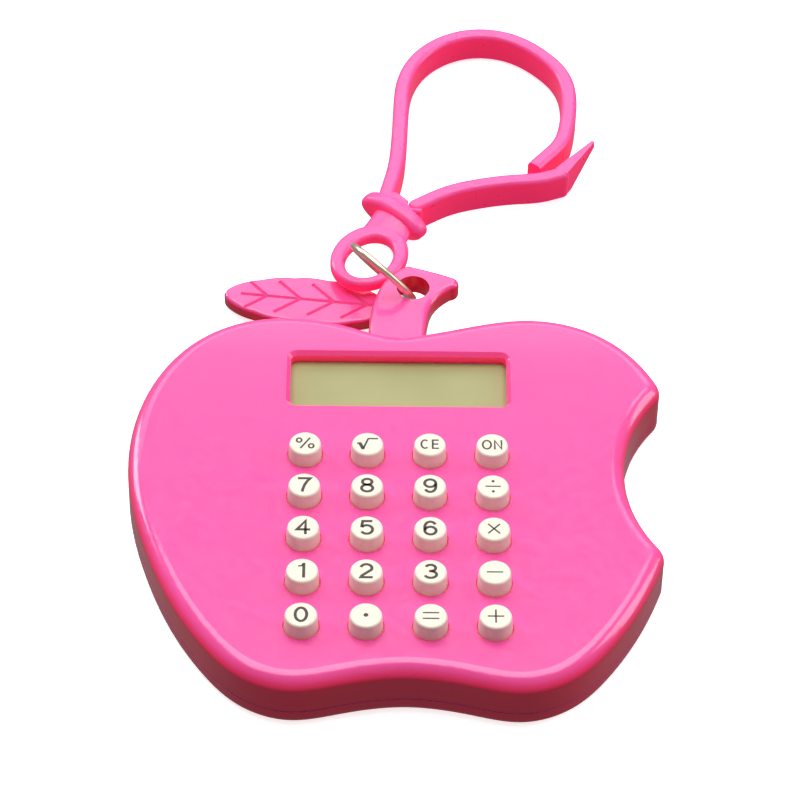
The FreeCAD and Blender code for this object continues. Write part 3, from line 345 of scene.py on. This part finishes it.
LETTER_C = [(arc(0, 0, 0.52, 0.80, 48, 312), FINE)]
LETTER_E = [([(0.5, 0.8), (-0.38, 0.8), (-0.38, -0.8), (0.52, -0.8)], FINE),
            ([(-0.38, 0.03), (0.42, 0.03)], FINE)]
LETTER_O = [(oval(0, 0, 0.6, 0.82), FINE)]
LETTER_N = [([(-0.48, -0.92), (-0.48, 0.8), (0.48, -0.8), (0.48, 0.92)], FINE)]
LEGENDS = {
    "key_row1_col1": [(oval(-0.88, 0.55, 0.36, 0.40), FINE), (oval(0.88, -0.55, 0.36, 0.40), FINE),
                      ([(0.7, 1.05), (-0.68, -1.05)], FINE)],
    "key_row1_col2": [([(-1.5, 0.0), (-1.12, 0.14)], FINE), ([(-1.14, 0.18), (-0.62, -1.08)], 0.5),
                      ([(-0.66, -1.12), (0.1, 0.98), (1.52, 0.98)], FINE)],
    "key_row1_col3": moved(LETTER_C, -0.72) + moved(LETTER_E, 0.78),
    "key_row1_col4": moved(LETTER_O, -0.78) + moved(LETTER_N, 0.84),
    "key_row2_col1": [([(-0.92, 1.2), (0.86, 1.2), (0.4, 0.62), (0.05, -0.1), (-0.16, -0.8),
                        (-0.24, -1.38)], BOLD)],
    "key_row2_col2": [(oval(0, 0.64, 0.68, 0.56), BOLD), (oval(0, -0.57, 0.80, 0.65), BOLD)],
    "key_row2_col3": [(oval(0, 0.48, 0.80, 0.72), BOLD),
                      (arc(0, -0.2, 0.80, 1.0, -150, 0) + [(0.80, 0.4)], BOLD)],
    "key_row2_col4": [([(-1.1, 0), (1.1, 0)], OPERATOR), (oval(0, 0.98, 0.11, 0.11), OPERATOR),
                      (oval(0, -0.98, 0.11, 0.11), OPERATOR)],
    "key_row3_col1": [([(0.34, -1.38), (0.34, 1.16), (-0.88, -0.48), (1.02, -0.48)], BOLD)],
    "key_row3_col2": [([(0.78, 1.2), (-0.58, 1.2), (-0.74, 0.02)], BOLD),
                      (arc(0, -0.38, 0.82, 0.80, 148, -152), BOLD)],
    "key_row3_col3": [(oval(0, -0.48, 0.80, 0.72), BOLD),
                      (arc(0, 0.2, 0.80, 1.0, 30, 180) + [(-0.80, -0.4)], BOLD)],
    "key_row3_col4": [([(-0.85, -0.9), (0.85, 0.9)], 0.25), ([(-0.85, 0.9), (0.85, -0.9)], 0.25)],
    "key_row4_col1": [([(0.24, -1.38), (0.24, 1.34)], BOLD),
                      ([(0.22, 1.3), (0.0, 0.86), (-0.56, 0.74)], 0.26)],
    "key_row4_col2": [(arc(0, 0.5, 0.78, 0.70, 168, -28) + [(-0.2, -0.55), (-0.62, -0.9),
                                                             (-0.78, -1.2), (0.9, -1.2)], BOLD)],
    "key_row4_col3": [(arc(0, 0.62, 0.70, 0.58, 160, -90) + [(-0.24, 0.04)], BOLD),
                      (arc(0, -0.58, 0.82, 0.62, 90, -165), BOLD)],
    "key_row4_col4": [([(-1.15, 0), (1.15, 0)], OPERATOR)],
    "key_row5_col1": [(oval(0, 0, 0.80, 1.20), BOLD)],
    "key_row5_col2": [(oval(0, 0, 0.17, 0.17), 0.34)],
    "key_row5_col3": [([(-1.15, 0.52), (1.15, 0.52)], OPERATOR),
                      ([(-1.15, -0.52), (1.15, -0.52)], OPERATOR)],
    "key_row5_col4": [([(-1.15, 0), (1.15, 0)], OPERATOR), ([(0, -1.2), (0, 1.2)], OPERATOR)],
}


def ribbon(points, width):
    """Left and right sides of a stroke of even width; a closed stroke meets itself."""
    line = [Vector(p) for p in points]
    closed = (line[0] - line[-1]).length < SAME_POINT
    sides = []
    for i, here in enumerate(line):
        before = line[i - 1] if i > 0 else (line[-2] if closed else None)
        after = line[i + 1] if i < len(line) - 1 else (line[1] if closed else None)
        ways = [way.normalized() for way in ((here - before) if before else None,
                                             (after - here) if after else None) if way]
        across = sum((Vector((-way.y, way.x)) for way in ways), Vector((0, 0))).normalized()
        cosine = across.dot(Vector((-ways[0].y, ways[0].x)))
        mitre = min(1 / max(cosine, MITRE_LEAST_COSINE), MITRE_LONGEST)
        sides.append((here + across * width / 2 * mitre, here - across * width / 2 * mitre))
    return sides


def print_mesh(name, strokes):
    """A thin printed mark, in metres, centred on the key and sunk into its top."""
    vertices, faces = [], []
    for points, width in strokes:
        first = len(vertices)
        sides = ribbon(points, width)
        for left, right in sides:
            for x, y in (left, right):
                vertices += [(x * MM, y * MM, (INK_PROUD - INK_THICKNESS) * MM),
                             (x * MM, y * MM, INK_PROUD * MM)]
        for i in range(len(sides) - 1):
            a = first + 4 * i
            b = a + 4
            faces += [(a + 3, b + 3, b + 1, a + 1), (a, b, b + 2, a + 2),
                      (a + 1, b + 1, b, a), (a + 2, b + 2, b + 3, a + 3)]
        last = first + 4 * (len(sides) - 1)
        faces += [(first, first + 2, first + 3, first + 1), (last + 1, last + 3, last + 2, last)]
    mesh = bpy.data.meshes.new(name)
    mesh.from_pydata(vertices, [], faces)
    mesh.materials.append(INK)
    return mesh


for key, strokes in LEGENDS.items():
    mark = bpy.data.objects.new("legend_" + key, print_mesh("legend_" + key, strokes))
    low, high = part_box(key)
    mark.location = ((low.x + high.x) / 2, (low.y + high.y) / 2, high.z)
    bpy.context.scene.collection.objects.link(mark)
    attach(mark, key)


# ------------------------------------------------------------------ floor, light, camera
FLOOR_HALF = 3.0
FLOOR_DROP = 0.0002        # keeps the floor clear of the case's flat back
FLOOR_GLOW = 0.75
LIGHTS = (                 # name, place, size, watts
    ("overhead", (0.0, 0.30, 1.1), (1.3, 0.9), 12.6),
    ("back", (0.0, 1.1, 0.75), (1.4, 0.5), 4.3),
    ("left", (-0.80, 0.70, 0.42), (0.40, 0.5), 3.6),
    ("right", (1.0, 0.2, 0.45), (0.35, 0.8), 3.2),
)
SKY_STRENGTH = 0.22
LENS = 171.2               # mm
CAMERA_TURN = (43.626, -0.757, 0.057)  # degrees
CAMERA_DISTANCE = 0.5638
CAMERA_AIM = (-0.00090, 0.02169, 0.005)
CLIP_START = 0.01
CLIP_END = 20.0


def floor():
    mesh = bpy.data.meshes.new("floor")
    half = FLOOR_HALF
    mesh.from_pydata([(-half, -half, 0), (half, -half, 0), (half, half, 0), (-half, half, 0)],
                     [], [(0, 1, 2, 3)])
    plane = bpy.data.objects.new("floor", mesh)
    g = Graph("floor_paper")
    cloud = g.noise(30.0, 3.0)
    shade = g.span(cloud, "Fac", 0.3, 0.7, 0.0, 1.0)
    g.colour(g.mix((0.93, 0.93, 0.93), (0.95, 0.95, 0.95), shade))
    g.roughness(cloud, 0.7, 0.8)
    g.settings(Emission_Color=(1, 1, 1, 1), Emission_Strength=FLOOR_GLOW)
    mesh.materials.append(g.material)
    bpy.context.scene.collection.objects.link(plane)
    plane.location.z = -FLOOR_DROP
    plane.visible_diffuse = False
    plane.visible_glossy = False


def softbox(name, place, size, power, target):
    data = bpy.data.lights.new(name, "AREA")
    data.shape = "RECTANGLE"
    data.size, data.size_y = size
    data.energy = power
    lamp = bpy.data.objects.new(name, data)
    lamp.location = place
    lamp.rotation_euler = (Vector(target) - Vector(place)).to_track_quat("-Z", "Y").to_euler()
    bpy.context.scene.collection.objects.link(lamp)


floor()
low, high = box_before
middle = (Vector(low) + Vector(high)) / 2
for light in LIGHTS:
    softbox(*light, target=middle)

world = bpy.data.worlds.new("studio")
world.use_nodes = True
sky = world.node_tree.nodes["Background"]
sky.inputs["Color"].default_value = (1, 1, 1, 1)
sky.inputs["Strength"].default_value = SKY_STRENGTH
bpy.context.scene.world = world
bpy.context.scene.view_settings.view_transform = "Standard"

camera_data = bpy.data.cameras.new("camera")
camera_data.lens = LENS
camera_data.clip_start = CLIP_START
camera_data.clip_end = CLIP_END
camera = bpy.data.objects.new("camera", camera_data)
camera.rotation_euler = [math.radians(turn) for turn in CAMERA_TURN]
backwards = camera.rotation_euler.to_matrix() @ Vector((0, 0, 1))
camera.location = Vector(CAMERA_AIM) + backwards * CAMERA_DISTANCE
bpy.context.scene.collection.objects.link(camera)
bpy.context.scene.camera = camera
